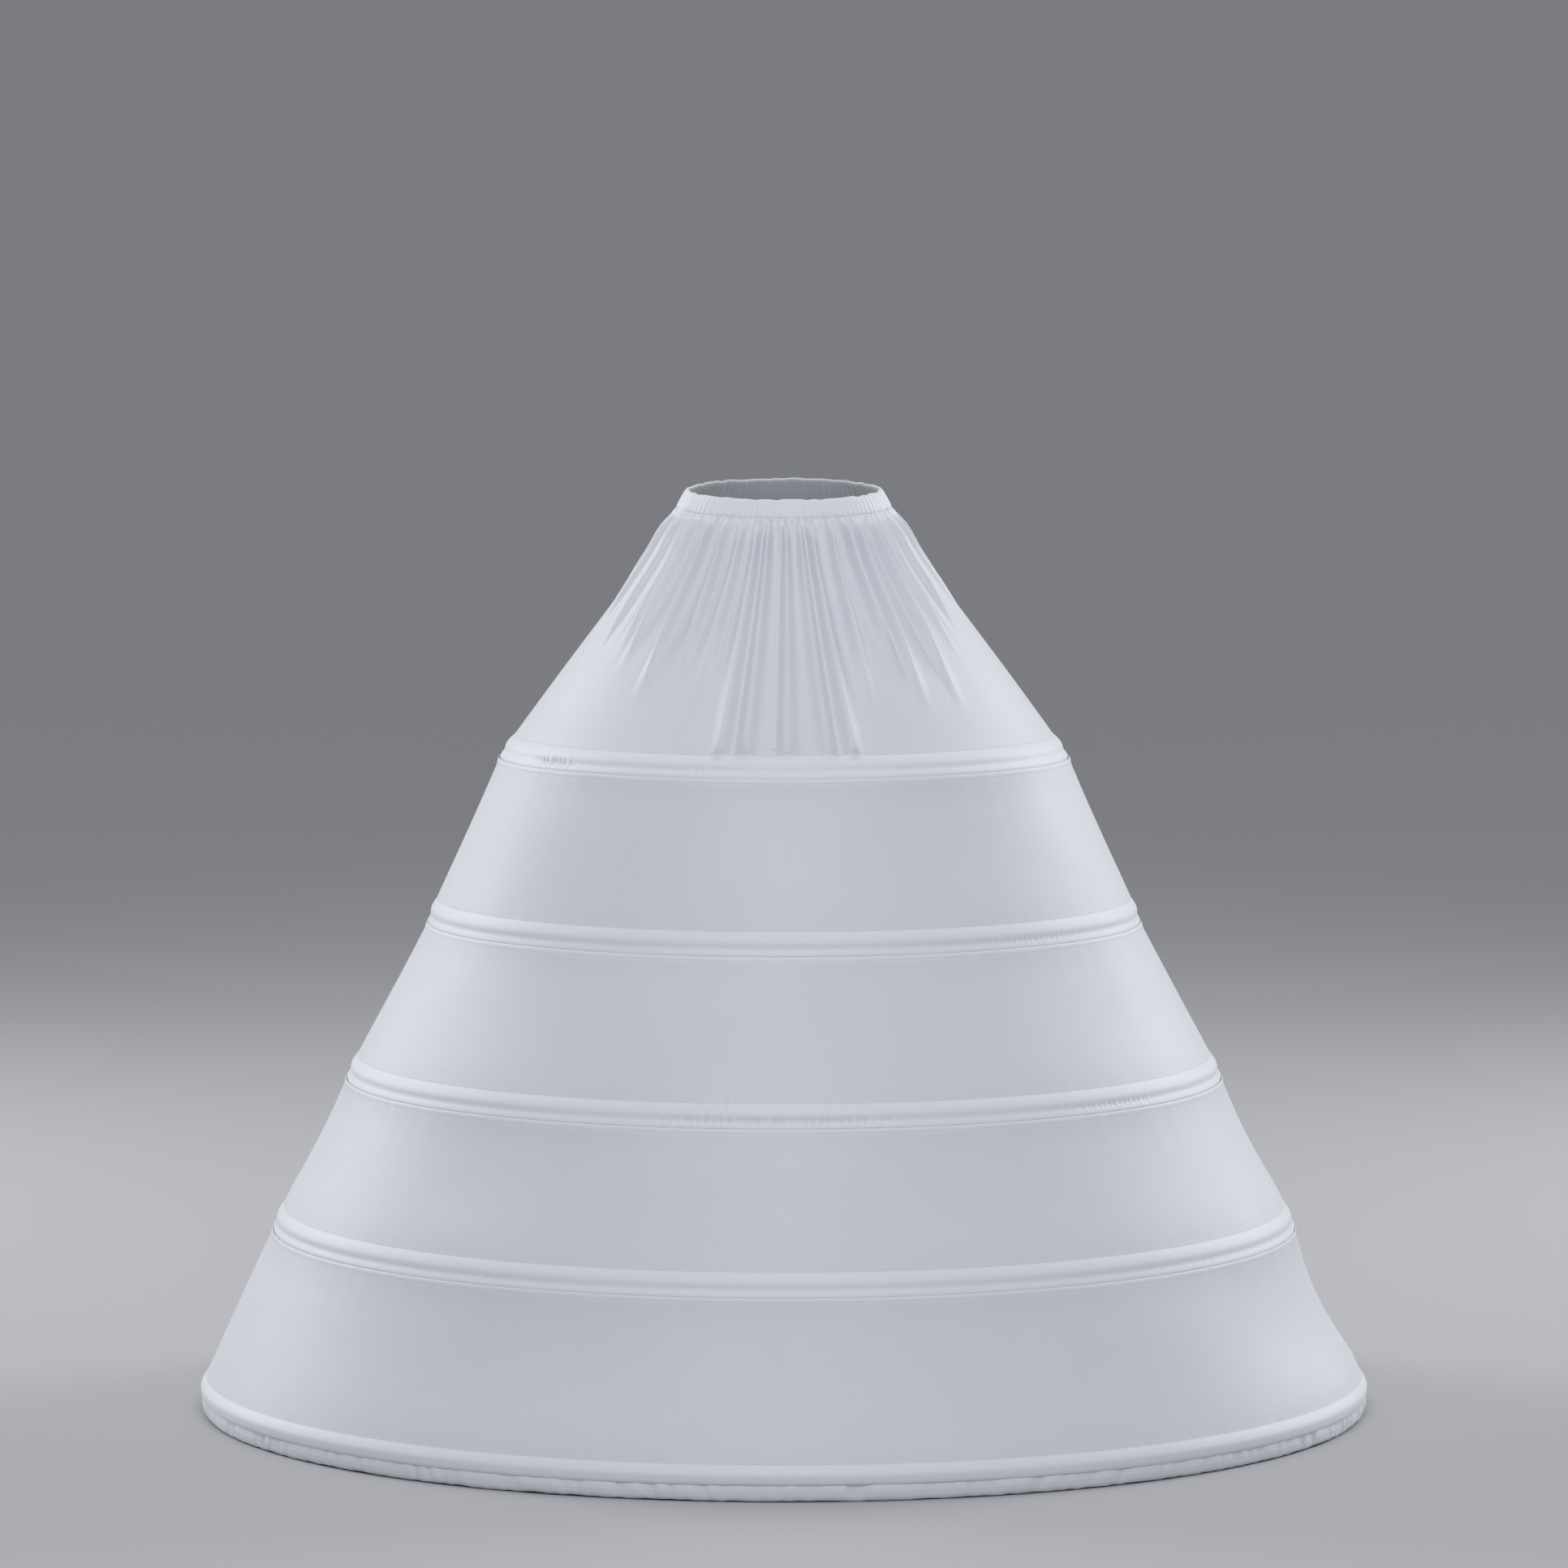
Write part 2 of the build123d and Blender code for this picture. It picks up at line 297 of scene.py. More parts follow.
coverNodes = ["top_panel", "tier_2", "tier_3", "tier_4", "hem_tier"]
hemNumber = len(coverNodes)
lipDrop = 0.5  # of the lip under the band of a hoop
hoops = []
for number, node in enumerate(coverNodes, start=1):
    footRadius, footHeight = nodeSpan(f"hoop_casing_{number}")
    hoops.append({
        "ridgeRadius": nodeSpan(node)[0],
        "ridgeHeight": nodeSpan(f"hoop_{number}")[1] - lipDrop * mm,
        "footRadius": footRadius,
        "footHeight": footHeight,
    })

# section over a hoop, as run past the lip and lift off the line of the cloth: toe, low round ridge, and then
# either a shallow groove and a light roll down to the next tier or, at the hem, the cloth turned under
ridge = {
    "head": [(-36, 0), (-18, -0.1), (-14.5, -0.25), (-12.8, -0.1), (-11, 0.4), (-8.5, 0.95), (-5.5, 1.4),
             (-2.5, 1.65), (0, 1.6)],
    "strip": [(2, 1.3), (4.2, 0.6), (6.2, -0.4), (8.2, -0.95), (10.5, -0.9), (13, -0.75), (15.6, -0.85),
              (17.2, -1.35), (18.4, -2.1), (20, -3.0), (24.5, -4.8)],
    "hemTurn": [(1.9, 0.95), (3.8, 0.05), (6.0, -1.15), (8.2, -2.6), (9.5, -4.2), (9.5, -6.2)],
    "stitchRow": 2,  # of the head, at the toe
    "doubledHighlightFrom": -15.0,  # runs between which the cloth over the casing turns to the lighter doubled-cloth tone, painted highlight on the ridge and strip
    "doubledHighlightFull": -11.0,
    "dentSpacing": 9.0,
    "dentJitter": 0.2,  # share of the spacing by which a dent is off its even place
    "dentWidth": 2.2,
    "dentDepth": 3.8,
    "dentShares": (0.55, 1.0),  # least and most of the depth that a dent has
    "dentMiddle": 8.2,  # run past the lip, and half the length of a dent
    "dentReach": 4.0,
    "dentSlant": 0.16,  # way round for each unit of the way down
    # where the stitching has drawn the strip up most: middle in degrees from the front, half width, and share
    # of the depth
    "dentSpots": {1: ((-54, 7, 1.0), (-8, 22, 0.35), (150, 30, 0.7)), 2: ((35, 18, 0.3), (-160, 25, 0.6)),
                  3: ((0, 16, 1.0), (48, 10, 0.4), (-140, 30, 0.7)), 4: ((-20, 25, 0.25), (170, 30, 0.6))},
    "dentRest": 0.1,
    # bar tacks that close the casing: degrees from the front, with the cloth drawn into a short upright pleat
    "tacks": {1: (-15.7, 15.7, 165, 195), 2: (172, 188), 3: (-7, 7, 170, 190), 4: (173, 187)},
    "tackLift": 1.4,
    "tackWidth": 2.6,
    "tackHollow": 0.5,  # on both sides of a pleat: share of its lift, and width in pleats
    "tackHollowWidth": 2.5,
    "tackMiddle": -11.0,
    "tackReach": 9.0,
}


# dents in the strip below a hoop: narrow bells on the grid's own columns, about a dent spacing apart, deepest
# in the groove and stronger at the spots, where the strength is a bell with a flat top (fourth power);
# and the pleats at the bar tacks, a bell across less a wider bell, times a bell along
def casingDents(number, columns, run):
    r = ridge
    radius = hoops[number - 1]["ridgeRadius"]
    angles = anglesRound(columns)
    count = placesRound(radius, r["dentSpacing"])
    places = (np.arange(count) + draw.uniform(-r["dentJitter"], r["dentJitter"], count)) * columns / count
    places = np.round(places) * 2 * np.pi / columns
    shares = draw.uniform(*r["dentShares"], count)
    fromFront = turned(places - front)
    strength = np.full(count, r["dentRest"])
    for middle, half, share in r["dentSpots"][number]:
        away = np.degrees(turned(fromFront - np.radians(middle)))
        strength = np.maximum(strength, share * np.exp(-(away / half) ** 4))
    depth = r["dentDepth"] * mm * strength * shares
    nearest = np.round(angles / (2 * np.pi) * count).astype(int)
    slant = r["dentSlant"] * (run[:, None] - r["dentMiddle"] * mm) / radius * np.sign(np.cos(angles))
    lift = np.zeros((len(run), columns))
    for beside in (-1, 0, 1):
        i = (nearest + beside) % count
        across = turned(angles - slant - places[i]) * radius
        lift -= depth[i] * bell(across, 0, r["dentWidth"] * mm)
    lift *= bell(run, r["dentMiddle"] * mm, r["dentReach"] * mm)[:, None]
    for degrees in r["tacks"][number]:
        across = turned(angles - front - np.radians(degrees)) * radius
        hollow = r["tackHollow"] * bell(across, 0, r["tackHollowWidth"] * r["tackWidth"] * mm)
        pleat = bell(across, 0, r["tackWidth"] * mm) - hollow
        lift += r["tackLift"] * mm * pleat * bell(run, r["tackMiddle"] * mm, r["tackReach"] * mm)[:, None]
    return lift


seamLines = {}  # for each row of stitches: the line on the cloth that it follows, and the line beside it


# keeps a row of a piece's points, and the row below it, for the stitches
def markSeam(name, points, row):
    seamLines[name] = (points[row], points[row + 1])


# gathers of the top panel; a way is a share of the fall from the band to the hoop
gathers = {
    "thickness": 0.5,
    "columns": 1040,
    "rows": 27,
    "crowding": 1.3,  # power that brings the rows closer together towards the band
    "folds": 40,
    "jitter": 0.2,  # share of the spacing by which a fold is off its even place
    "frontCrowding": 0.13,  # the folds lie closer at the front and back than at the sides
    "crestWays": (0, 0.33, 1),  # at the band, a third down and at the hoop, and half width of a crest there
    "crest": (2.8, 6.2, 10.5),
    "depth": (7.5, 12.0),
    "length": (0.75, 1.1),
    "turns": (0, 22, 42, 62, 90),  # degrees from the front or back, and the shares of depth and length there
    "turnDepths": (1.0, 1.15, 1.35, 0.55, 0.4),
    "turnLengths": (0.9, 0.85, 0.8, 0.6, 0.5),
    "longFolds": 5,  # at the middle of the front, down to the hoop
    "longLength": 1.6,
    "shoulder": 0.5,  # share of its length over which a fold keeps its depth
    "drift": 0.22,
    "creasedShare": 0.6,
    "creaseDepth": 2.6,
    "creaseWidth": 0.42,  # width and place of a crease beside its fold, in crests
    "creaseAside": 1.4,
    "fineFolds": 96,  # small pleats at the band, uneven in place and height
    "fineDepth": 1.2,
    "fineStart": 0.02,
    "fineEnd": 0.2,
    "fineShift": 1.3,
    "fineShiftWaves": 40,
    "fineUneven": 0.3,
    "fineWaves": 60,
    "puff": 3.5,  # of the cloth below the band: lift, and middle and width of the bell
    "puffMiddle": 0.08,
    "puffWidth": 0.07,
    "smoothFrom": 0.94,  # ways between which the hoop draws the cloth smooth
    "smoothTo": 0.99,
    "slack": 1.2,
    "slackWaves": 17,
    "tuckIn": 6.2,  # the top edge goes up behind the foot of the band, pressed nearly flat there
    "tuckUp": 8.0,
    "pressed": 0.12,  # share of a fold's depth at the top edge
    "pressedFrom": 0.01,  # ways between which a fold opens out to its full depth
    "pressedTo": 0.075,
    "seamAllowance": 10.0,
    "clothArea": 0.62,  # in square metres, with the gathers
}


# lift of the folds: each is a bell across its crest, wider with the way down, full over its shoulder and
# eased out at a length of its own, less a narrow bell beside it where it is creased; each row's mean is
# taken off
def gatheredFolds(angles, way, radius):
    g = gathers
    crest = np.interp(way, g["crestWays"], g["crest"])[:, None] * mm
    spacing = 2 * np.pi / g["folds"]
    even = (np.arange(g["folds"]) + draw.uniform(-g["jitter"], g["jitter"], g["folds"])) * spacing
    centres = front + even - g["frontCrowding"] * np.sin(2 * even)
    fromEnds = np.degrees(np.abs(np.arcsin(np.sin(centres - front))))
    depths = draw.uniform(*g["depth"], g["folds"]) * mm * np.interp(fromEnds, g["turns"], g["turnDepths"])
    lengths = draw.uniform(*g["length"], g["folds"]) * np.interp(fromEnds, g["turns"], g["turnLengths"])
    fromFront = np.argsort(np.abs(turned(centres - front)))
    lengths[fromFront[:g["longFolds"]]] = g["longLength"]
    drifts = draw.uniform(-g["drift"], g["drift"], g["folds"]) * spacing
    creased = draw.uniform(0, 1, g["folds"]) < g["creasedShare"]
    sides = np.sign(draw.uniform(-1, 1, g["folds"]))
    opening = g["pressed"] + (1 - g["pressed"]) * ease(g["pressedFrom"], g["pressedTo"], way)
    folds = np.zeros_like(radius)
    for i in range(g["folds"]):
        across = turned(angles[None] - centres[i] - drifts[i] * way[:, None]) * radius
        along = opening * (1 - ease(g["shoulder"] * lengths[i], lengths[i], way))
        folds += depths[i] * along[:, None] * bell(across, 0, crest)
        if creased[i]:
            crease = bell(across, sides[i] * g["creaseAside"] * crest, g["creaseWidth"] * crest)
            folds -= g["creaseDepth"] * mm * along[:, None] * crease
    return folds - folds.mean(axis=1, keepdims=True)


# the fall from the waist oval to the first hoop, lifted by the puff, the folds, the fine pleats, the slack
# and the dents
def makeTopPanel():
    g, hoop = gathers, hoops[0]
    angles = anglesRound(g["columns"])
    waist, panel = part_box("waistband"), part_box("top_panel")
    dip = (panel[1].z - waist[0].z) / 2
    seamHeight = (panel[1].z + waist[0].z) / 2
    tuck = g["tuckIn"] * mm
    top = oval(angles, waist[1].x - tuck, waist[1].y - tuck, seamHeight + g["tuckUp"] * mm, dip)
    low = oval(angles, hoop["ridgeRadius"], hoop["ridgeRadius"], hoop["ridgeHeight"])
    length = np.linalg.norm(low - top, axis=1).mean()
    ridgeRun, ridgeLift = np.array(ridge["head"] + ridge["strip"]).T * mm
    fall = np.linspace(0, 1, g["rows"], endpoint=False) ** g["crowding"] * (1 + ridgeRun[0] / length)
    share = np.concatenate([fall, np.ones_like(ridgeRun)])
    extra = np.concatenate([np.zeros_like(fall), ridgeRun])
    lift = np.concatenate([np.zeros_like(fall), ridgeLift])[:, None] + np.zeros(len(angles))
    way = share + extra / length
    radius = np.linalg.norm(hang(top, low, share, extra, lift)[..., :2], axis=2)
    lift = lift + g["puff"] * mm * bell(way, g["puffMiddle"], g["puffWidth"])[:, None]
    loose = 1 - ease(g["smoothFrom"], g["smoothTo"], way)
    lift = lift + gatheredFolds(angles, way, radius) * loose[:, None]
    fine = np.cos(g["fineFolds"] * angles + g["fineShift"] * unevenRound(angles, g["fineShiftWaves"]))
    fine = fine * unevenStrength(angles, g["fineWaves"], g["fineUneven"])
    lift = lift + g["fineDepth"] * mm * fine * (1 - ease(g["fineStart"], g["fineEnd"], way))[:, None]
    slack = unevenRound(angles, g["slackWaves"]) * np.sin(np.pi * np.clip(way, 0, 1))[:, None]
    pastLip = way * length - length
    lift = lift + g["slack"] * mm * slack + casingDents(1, g["columns"], pastLip)
    points = hang(top, low, share, extra, lift)
    # the cloth over the casing takes the lighter tone: painted highlight on the ridge and strip
    doubledHighlight = ease(ridge["doubledHighlightFrom"] * mm, ridge["doubledHighlightFull"] * mm, pastLip)
    piece = ringMesh("topPanel", points, skirtCloth, g["thickness"], doubledHighlight)
    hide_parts("top_panel")
    markSeam("casingStitches1", points, g["rows"] + ridge["stitchRow"])


makeTopPanel()
print("top panel gathered")

# plain tiers: a folded top edge, a slightly hollow fall, and the ridge over the hoop
tiers = {
    "thickness": 0.5,
    "columns": {2: 1500, 3: 1600, 4: 1600, 5: 1600},
    "edge": [(5, 0.6), (1.2, 0.85), (0.1, 1.3), (0.6, 1.8), (2.4, 1.85), (5, 1.15), (11, 0.15)],
    "foldDepth": 5.0,
    "edgeStitchRow": 5,
    "middleRows": 4,
    "hollow": 1.2,
    "slack": {2: 1.4, 3: 1.4, 4: 2.2, 5: 6.0},  # the lowest tier hangs slackest
    "slackWaves": {2: (11, 23), 3: (11, 23), 4: (9, 19), 5: (7, 15)},
    "slackTurns": (0.15, -0.1),
    "puckerSpacing": 14.0,
    "puckerDepth": 0.45,
    "puckerReach": 18.0,
    "lowPuckers": 0.5,  # depth and reach of the puckers at the toe, as a share of those at the top edge
    "seamAllowance": {2: 32.0, 3: 32.0, 4: 32.0, 5: 12.0},
}


# the fall from the foot of the strip above to the hoop, lifted by the edge, the hollow, slow slack waves that
# are nothing at both ends, puckers that die out with the run, and the dents
def makeTier(number):
    t, hoop, above = tiers, hoops[number - 1], hoops[number - 2]
    columns = t["columns"][number]
    angles = anglesRound(columns)
    top = oval(angles, above["footRadius"], above["footRadius"], above["footHeight"])
    low = oval(angles, hoop["ridgeRadius"], hoop["ridgeRadius"], hoop["ridgeHeight"])
    length = np.linalg.norm(low - top, axis=1).mean()
    edgeRun, edgeLift = np.array(t["edge"]).T * mm
    tail = ridge["hemTurn" if number == hemNumber else "strip"]
    ridgeRun, ridgeLift = np.array(ridge["head"] + tail).T * mm
    middleRun = np.linspace(edgeRun[-1], length + ridgeRun[0], t["middleRows"] + 2)[1:-1]
    share = np.concatenate([np.zeros(len(edgeRun) + len(middleRun)), np.ones_like(ridgeRun)])
    extra = np.concatenate([edgeRun, middleRun, ridgeRun])
    base = np.concatenate([edgeLift, np.zeros_like(middleRun), ridgeLift])
    run = share * length + extra
    bow = np.sin(np.pi * np.clip(run / (length + ridgeRun[0]), 0, 1))
    lift = (base - t["hollow"] * mm * bow)[:, None] + np.zeros(columns)
    for places, turn in zip(t["slackWaves"][number], t["slackTurns"]):
        shifted = angles[None] + turn * (run / length)[:, None]
        lift = lift + t["slack"][number] * mm * unevenRound(shifted, places) * bow[:, None]
    reach = t["puckerReach"] * mm
    puckers = unevenRound(angles, placesRound(above["footRadius"], t["puckerSpacing"]))
    lift = lift + t["puckerDepth"] * mm * puckers * np.exp(-np.abs(run) / reach)[:, None]
    puckers = unevenRound(angles, placesRound(hoop["ridgeRadius"], t["puckerSpacing"]))
    toe = t["lowPuckers"] * bell(run, length - reach, t["lowPuckers"] * reach)
    lift = lift + t["puckerDepth"] * mm * puckers * toe[:, None]
    if number < hemNumber:
        lift = lift + casingDents(number, columns, run - length)
    points = hang(top, low, share, extra, lift)
    # the lighter tone over the casing and the folded top edge: painted highlight on these raised bands, where
    # the cloth lies double
    doubledHighlight = ease(ridge["doubledHighlightFrom"] * mm, ridge["doubledHighlightFull"] * mm, run - length)
    doubledHighlight = doubledHighlight + 1 - ease(t["foldDepth"] * mm, 2 * t["foldDepth"] * mm, run)
    piece = ringMesh(f"clothTier{number}", points, skirtCloth, t["thickness"], doubledHighlight)
    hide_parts(coverNodes[number - 1])
    markSeam(f"edgeStitches{number}", points, t["edgeStitchRow"])
    markSeam(f"casingStitches{number}", points, len(edgeRun) + len(middleRun) + ridge["stitchRow"])


for number in range(2, hemNumber + 1):
    makeTier(number)
print("tiers hung")

# casing tapes: sewn to the cloth above the hoop, behind it, and out again to the foot of the strip
tapes = {
    "thickness": 0.4,
    "columns": 640,
    "section": [(-24, -2.4), (-18, -4.7), (-11, -9), (-3, -10.5), (4, -9.5), (10, -7.6), (16, -6.8),
                (23, -6.6)],
    "hemSection": [(-24, -2.4), (-18, -4.7), (-11, -9), (-3, -10.5), (3, -10), (6.6, -8.8)],
    "perSpan": 2,
    "puckerSpacing": 16.0,
    "puckerDepth": 0.5,
}


# the section turned round the axis, with puckers that are deepest half way down it
def makeTape(number):
    t, hoop = tapes, hoops[number - 1]
    angles = anglesRound(t["columns"])
    lip = np.array([hoop["ridgeRadius"], hoop["ridgeHeight"]])
    if number == 1:
        start = np.array(nodeSpan("waistband"))
    else:
        start = np.array([hoops[number - 2]["footRadius"], hoops[number - 2]["footHeight"]])
    along = (lip - start) / np.linalg.norm(lip - start)
    off = np.array([-along[1], along[0]])
    runs, lifts = smoothLine(t["hemSection" if number == hemNumber else "section"], t["perSpan"]).T * mm
    radii, heights = lip[:, None] + along[:, None] * runs + off[:, None] * lifts
    puckers = unevenRound(angles, placesRound(lip[0], t["puckerSpacing"]))
    puckers = puckers * np.sin(np.pi * np.linspace(0, 1, len(radii)))[:, None]
    radius = radii[:, None] + t["puckerDepth"] * mm * puckers
    points = oval(angles, radius, radius, heights[:, None])
    piece = ringMesh(f"casingTape{number}", points, tapeCloth, t["thickness"])
    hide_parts(f"hoop_casing_{number}")


for number in range(1, hemNumber + 1):
    makeTape(number)
print("casing tapes made")

# hem strip, in run in from the lip and share of the lip's height: from under the last ridge, nearly flush
# with it, over a soft roll, and turned in at the floor
hemStrip = {
    "thickness": 0.5,
    "columns": 2300,
    "section": [(3.8, 0.80), (2.1, 0.71), (0.9, 0.62), (0.4, 0.52), (0.3, 0.41), (0.5, 0.30), (1.3, 0.17),
                (3.1, 0.06), (5.4, 0.012), (7.2, 0.08), (8.2, 0.3)],
    "perSpan": 2,
    "puckerSpacing": 10.0,
    "puckerDepth": 2.6,
    "puckerUneven": 0.4,  # share of the depth that comes and goes with the slow waves
    "puckerDraw": 0.4,  # share by which a pucker goes further in than out
    "puckerEnd": 0.8,  # share of the section by which the puckers have died out
    "edgeWave": 2.0,
    "edgeFrom": 0.3,  # shares of the section between which the wave of the lower edge sets in
    "edgeTo": 0.75,
    "edgeRise": (0.5, 0.3, 0.2),  # shares of the wave: even, with the puckers, and slow
    "slowWaves": 70,
    "stitchRow": 9,
}


# the section turned round the axis: the radius moved by puckers, the lower edge lifted by a wave
def makeHemStrip():
    s, hoop = hemStrip, hoops[-1]
    angles = anglesRound(s["columns"])
    lip = hoop["ridgeRadius"]
    inset, heightShare = smoothLine(s["section"], s["perSpan"]).T
    radii, heights = lip - inset * mm, heightShare * hoop["ridgeHeight"]
    way = np.linspace(0, 1, len(radii))
    places = placesRound(lip, s["puckerSpacing"])
    puckers = unevenRound(angles, places)
    puckers = puckers * unevenStrength(angles, s["slowWaves"], s["puckerUneven"])
    puckers = puckers - s["puckerDraw"] * np.abs(puckers)
    bulge = np.sin(np.pi * np.clip(way / s["puckerEnd"], 0, 1))
    radius = radii[:, None] + s["puckerDepth"] * mm * bulge[:, None] * puckers
    evenRise, puckerRise, slowRise = s["edgeRise"]
    rise = evenRise + puckerRise * unevenRound(angles, places)
    rise = rise + slowRise * unevenRound(angles, s["slowWaves"])
    edge = ease(s["edgeFrom"], s["edgeTo"], way)
    height = heights[:, None] + s["edgeWave"] * mm * edge[:, None] * rise
    points = oval(angles, radius, radius, height)
    piece = ringMesh("hemStrip", points, skirtCloth, s["thickness"])
    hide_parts("hem_tier")
    markSeam("hemStitches", points, s["stitchRow"])


makeHemStrip()
print("hem turned")

# waistband: a strip folded over the elastic, ruched, with one row of stitching below the elastic; the section
# is run down from the upper edge and lift off the outer face, from the inner edge up over the fold
band = {
    "thickness": 0.4,
    "columns": 900,
    "section": [(30, -4.6), (22, -4.6), (14, -4.5), (7, -4.4), (2.5, -4.1), (0.3, -3.0), (-0.6, -1.7),
                (0.1, -0.3), (2, 0.5), (6, 0.8), (11, 0.9), (16, 0.7), (20, 0.2), (22, -0.2), (24, 0.2),
                (27, 0.9), (30, 1.2), (32.8, 0.4), (33.8, -1.8)],
    "perSpan": 2,
    "outerShare": 0.36,  # share of the section after which the strip has come over the fold
    "wrinkles": 104,
    "wrinkleShift": 2.2,  # in radians, over a number of uneven waves
    "wrinkleShiftWaves": 44,
    "wrinkleUneven": 0.35,
    "wrinkleWaves": 70,
    "innerWrinkleDepth": 0.3,
    "wrinkleDrops": (0, 14, 20, 28),
    "wrinkleDepths": (0.45, 0.45, 0.8, 1.1),
    "seamDrop": 22.0,
    "seamDepth": 1.3,
    "seamWidth": 1.3,
    "seamUneven": 0.25,
    "seamWaves": 90,
    "edgeWave": 0.9,
    "edgeWaves": 80,
    "edgeReach": 6.0,
    "flare": 18.0,
    "ringLength": 0.8,  # of the strip before the elastic draws it in, in metres
    "stitchRow": 28,
}


# the section carried round the waist oval, tilted to the front: wrinkles are a cosine round it, uneven in
# place and height, the seam is a bell pressed into it, and the upper edge waves
def makeWaistband():
    b = band
    angles = anglesRound(b["columns"])
    low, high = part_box("waistband")
    dip = (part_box("top_panel")[1].z - low.z) / 2
    height = high.z - low.z - 2 * dip
    drop, lift = smoothLine(b["section"], b["perSpan"]).T * mm
    outside = np.arange(len(drop)) > len(drop) * b["outerShare"]
    wrinkle = np.cos(b["wrinkles"] * angles + b["wrinkleShift"] * unevenRound(angles, b["wrinkleShiftWaves"]))
    wrinkle = wrinkle * unevenStrength(angles, b["wrinkleWaves"], b["wrinkleUneven"])
    outerDepth = np.interp(drop / mm, b["wrinkleDrops"], b["wrinkleDepths"])
    depth = np.where(outside, outerDepth, b["innerWrinkleDepth"]) * mm
    lift = lift[:, None] + depth[:, None] * wrinkle
    seam = bell(drop, b["seamDrop"] * mm, b["seamWidth"] * mm) * outside
    pull = unevenStrength(angles, b["seamWaves"], b["seamUneven"])
    lift = lift - b["seamDepth"] * mm * seam[:, None] * pull
    upper = bell(drop, 0, b["edgeReach"] * mm)
    drop = drop[:, None] + b["edgeWave"] * mm * unevenRound(angles, b["edgeWaves"]) * upper[:, None]
    flared = b["flare"] * mm * (drop / height - 1)
    a, c = high.x + flared + lift, high.y + flared + lift
    tops = high.z - dip + dip * np.sin(angles)
    points = oval(angles, a, c, tops - drop)
    piece = ringMesh("waistbandCloth", points, skirtCloth, b["thickness"])
    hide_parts("waistband")
    markSeam("bandStitches", points, b["stitchRow"])


makeWaistband()
print("waistband folded")

# rows of lockstitch; the real thread is about 0.3 mm thick, and is drawn at twice that so that it shows
stitches = {
    "length": 3.2,
    "gap": 0.9,
    "radius": 0.3,
    "stations": (0.0, 0.25, 0.75, 1.0),  # shares of the length
    "girth": (0.35, 1.0, 1.0, 0.35),  # share of the radius along a stitch
    "sunk": (-0.5, 0.45, 0.45, -0.5),  # of the thread's middle over the cloth, in radii
    "sides": 4,
}


# stitches on a ring line: spindles of square section, each from one place on the line to the next, the ends
# sunk in the cloth; the cloth's face is found from the line beside
def makeStitches(name, line, beside):
    s = stitches
    ring = np.vstack([line, line[:1]])
    reach = np.concatenate([[0], np.cumsum(np.linalg.norm(np.diff(ring, axis=0), axis=1))])
    face = np.cross(np.roll(line, -1, axis=0) - np.roll(line, 1, axis=0), beside - line)
    face *= np.sign((face * line * [1, 1, 0]).sum(axis=1, keepdims=True))
    face /= np.linalg.norm(face, axis=1, keepdims=True)
    count = int(reach[-1] / ((s["length"] + s["gap"]) * mm))
    starts = np.arange(count) * reach[-1] / count
    spots = starts[:, None] + np.array(s["stations"]) * s["length"] * mm
    at = np.stack([np.interp(spots, reach, ring[:, i], period=reach[-1]) for i in range(3)], axis=-1)
    up = np.stack([np.interp(spots, reach[:-1], face[:, i], period=reach[-1]) for i in range(3)], axis=-1)
    along = at[:, -1:] - at[:, :1]
    along = along / np.linalg.norm(along, axis=-1, keepdims=True)
    side = np.cross(along, up)
    radius = s["radius"] * mm
    girth = np.array(s["girth"])[None, :, None, None] * radius
    middle = (at + up * np.array(s["sunk"])[None, :, None] * radius)[:, :, None]
    corner = np.pi / s["sides"] + anglesRound(s["sides"])[None, None, :, None]
    points = middle + girth * (up[:, :, None] * np.cos(corner) + side[:, :, None] * np.sin(corner))
    stations, sides = points.shape[1:3]
    index = np.arange(stations * sides).reshape(stations, sides)
    beyond = np.roll(index, -1, axis=1)
    walls = np.stack([index[:-1], beyond[:-1], beyond[1:], index[1:]], axis=-1).reshape(-1, 4)
    one = np.vstack([walls, index[0, ::-1], index[-1]])
    quads = (one[None] + np.arange(count)[:, None, None] * stations * sides).reshape(-1, 4)
    addPiece(name, points, quads, threadFinish)


for name, (line, beside) in seamLines.items():
    makeStitches(name, line, beside)
print("seams stitched:", len(seamLines), "rows")

# what stays CAD: hoops, joiners and the elastic, hidden in their casings
cadFinishes = {"waist_elastic": elasticFinish}
for number in range(1, hemNumber + 1):
    cadFinishes[f"hoop_{number}"] = hoopFinish
    cadFinishes[f"hoop_joiner_{number}"] = sleeveFinish
for name, finish in cadFinishes.items():
    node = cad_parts[name]
    node.data.materials.clear()
    node.data.materials.append(finish)
print("hoops and elastic finished")

# floor and light: a pale plain floor, a broad lamp on each side a little behind, a high one in front that
# leaves the hem a shade darker, a weak one above and an even sky
studio = {
    "floorColour": "#b9babe",
    "floorReach": 60.0,
    "sky": "#d6d7da",
    "skyStrength": 0.6,
    "lamps": {
        "leftLamp": {"place": (-3.5, 2.36, 2.3), "size": (2.0, 3.0), "power": 90},
        "rightLamp": {"place": (3.5, 2.36, 2.3), "size": (2.0, 3.0), "power": 90},
        "frontLamp": {"place": (0.0, -3.6, 3.0), "size": (1.6, 1.6), "power": 46},
        "topLamp": {"place": (0.0, -0.6, 4.2), "size": (2.5, 2.5), "power": 18},
    },
    "target": (0, 0, 0.75),
}


# a rectangular lamp turned to the target
def addLamp(name, place, size, power):
    light = bpy.data.lights.new(name, "AREA")
    light.shape = "RECTANGLE"
    light.size, light.size_y = size
    light.energy = power
    lamp = addObject(name, light)
    lamp.visible_camera = False
    lamp.location = place
    lamp.rotation_euler = (Vector(studio["target"]) - Vector(place)).to_track_quat("-Z", "Y").to_euler()


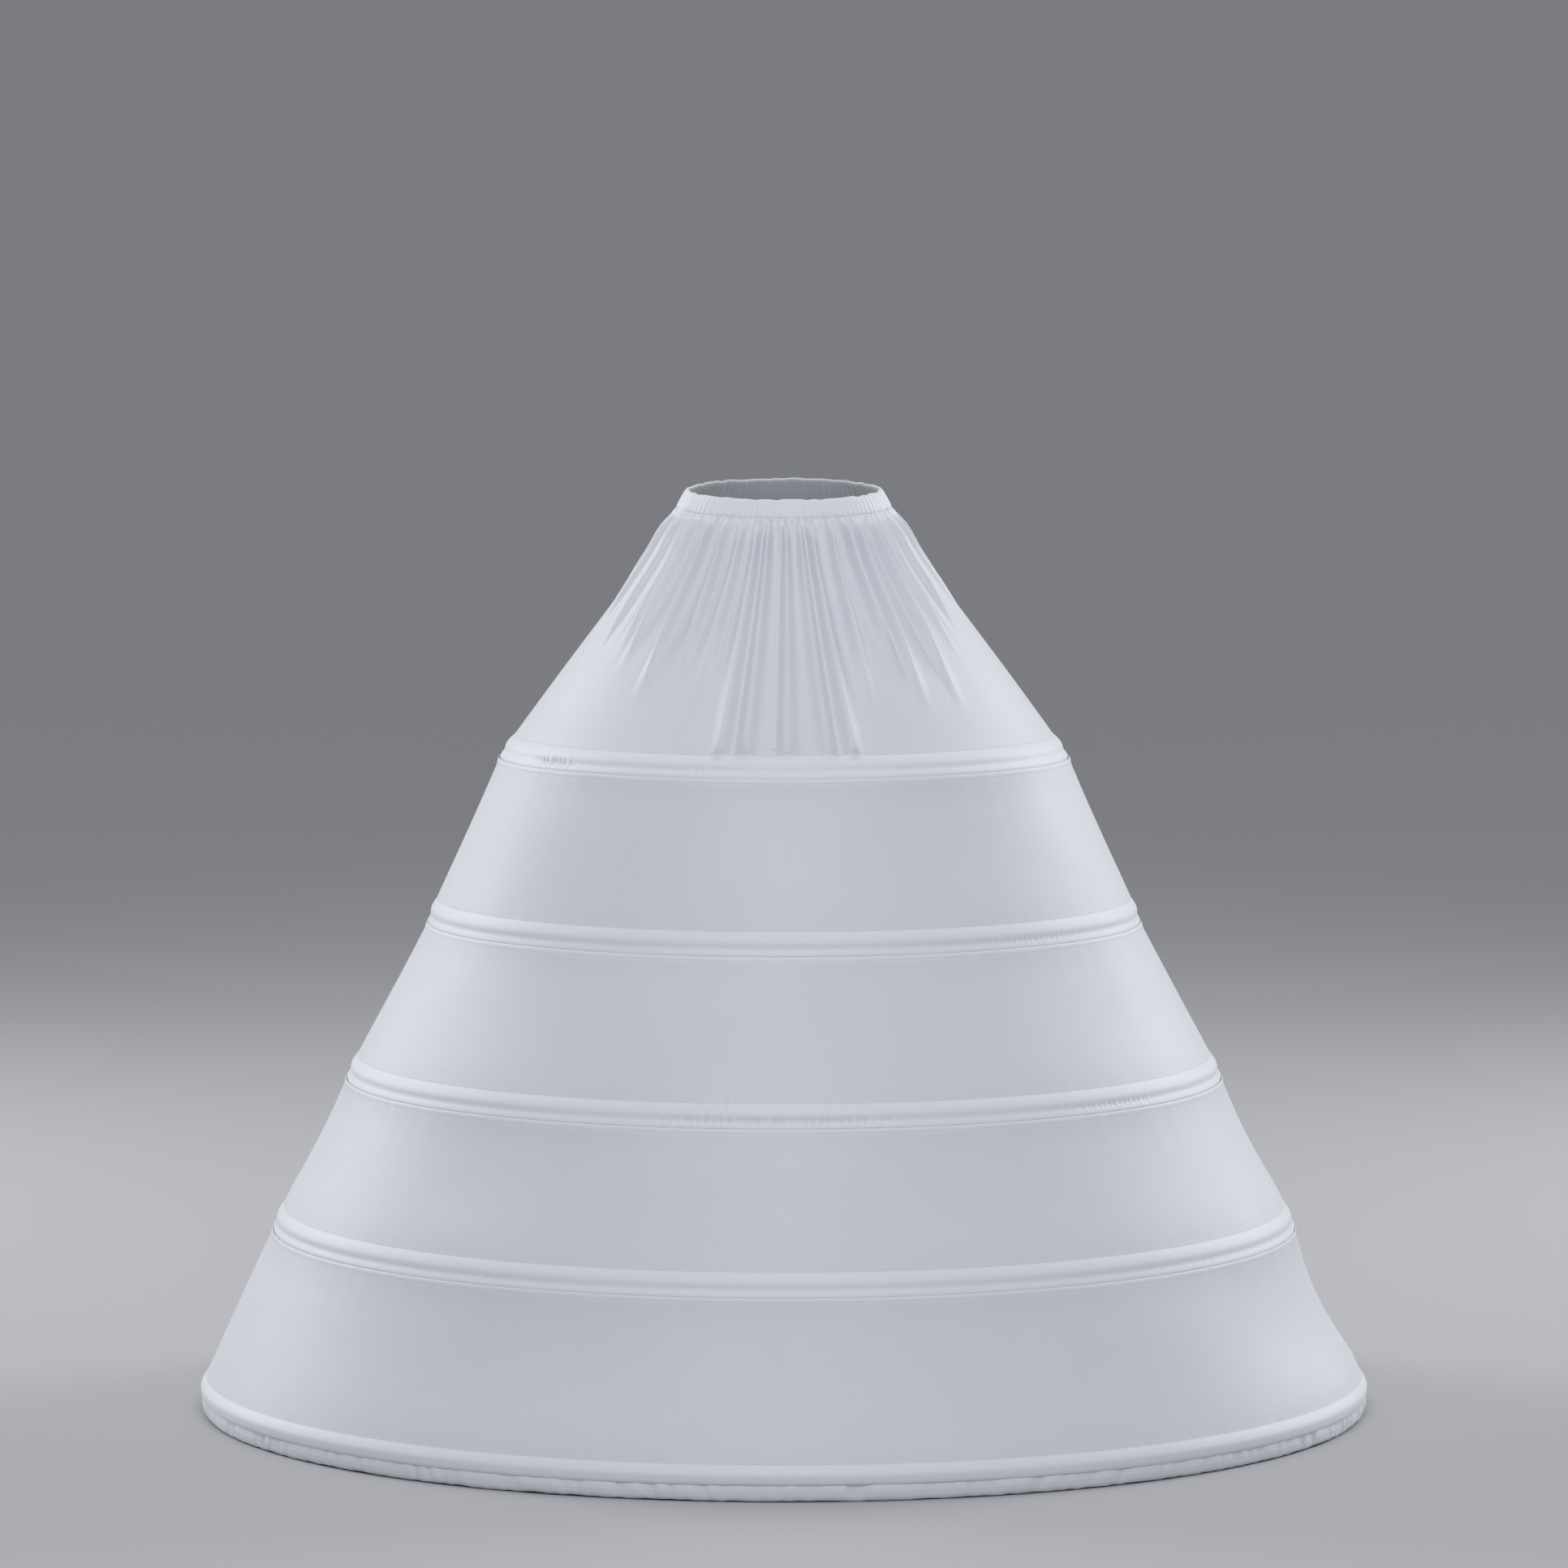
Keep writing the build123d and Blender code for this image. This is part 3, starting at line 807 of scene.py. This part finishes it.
for name, lamp in studio["lamps"].items():
    addLamp(name, **lamp)

# the sky that is seen has the tone of the far floor: the floor's colour times the sky's light
skyLight = np.array(linear(studio["sky"]))
farFloor = np.array(linear(studio["floorColour"])) * skyLight
world = bpy.data.worlds.new("evenSky")
world.use_nodes = True
skyTree = world.node_tree
skyTree.nodes.clear()
paths = addNode(skyTree, "ShaderNodeLightPath")
seen = addNode(skyTree, "ShaderNodeMath", {"operation": "MAXIMUM"}, _0=paths.outputs["Is Camera Ray"],
               _1=paths.outputs["Is Glossy Ray"])
seen = addNode(skyTree, "ShaderNodeMath", {"operation": "MAXIMUM"}, _0=seen.outputs["Value"],
               _1=paths.outputs["Is Transmission Ray"])
skyColour = addNode(skyTree, "ShaderNodeMix", {"data_type": "RGBA"}, _0=seen.outputs["Value"],
                    _6=skyLight.tolist(), _7=farFloor.tolist())
sky = addNode(skyTree, "ShaderNodeBackground", Color=skyColour.outputs[2], Strength=studio["skyStrength"])
addNode(skyTree, "ShaderNodeOutputWorld", Surface=sky.outputs["Background"])
bpy.context.scene.world = world

floorMaterial, floorTree = newMaterial("mattPaintedFloor")  # even and without gloss
floorShader = addNode(floorTree, "ShaderNodeBsdfPrincipled", Base_Color=linear(studio["floorColour"]),
                      Roughness=0.9, Specular_IOR_Level=0.0)
finishMaterial(floorTree, floorShader)
floorMesh = bpy.data.meshes.new("floor")
reach = studio["floorReach"]
floorMesh.from_pydata([(-reach, -reach, 0), (reach, -reach, 0), (reach, reach, 0), (-reach, reach, 0)], [],
                      [(0, 1, 2, 3)])
floorMesh.materials.append(floorMaterial)
floor = addObject("floor", floorMesh)

# camera: far back and a little above the waist, as in a catalogue picture
view = {"distance": 10.0, "height": 1.61, "pitch": 4.8, "lens": 187.2, "sensor": 36.0}
camera = addObject("camera", bpy.data.cameras.new("camera"))
camera.data.lens = view["lens"]
camera.data.sensor_width = view["sensor"]
camera.location = (0, -view["distance"], view["height"])
camera.rotation_euler = (math.radians(90 - view["pitch"]), 0, 0)
bpy.context.scene.camera = camera
bpy.context.scene.view_settings.view_transform = "Standard"
print("stage set")
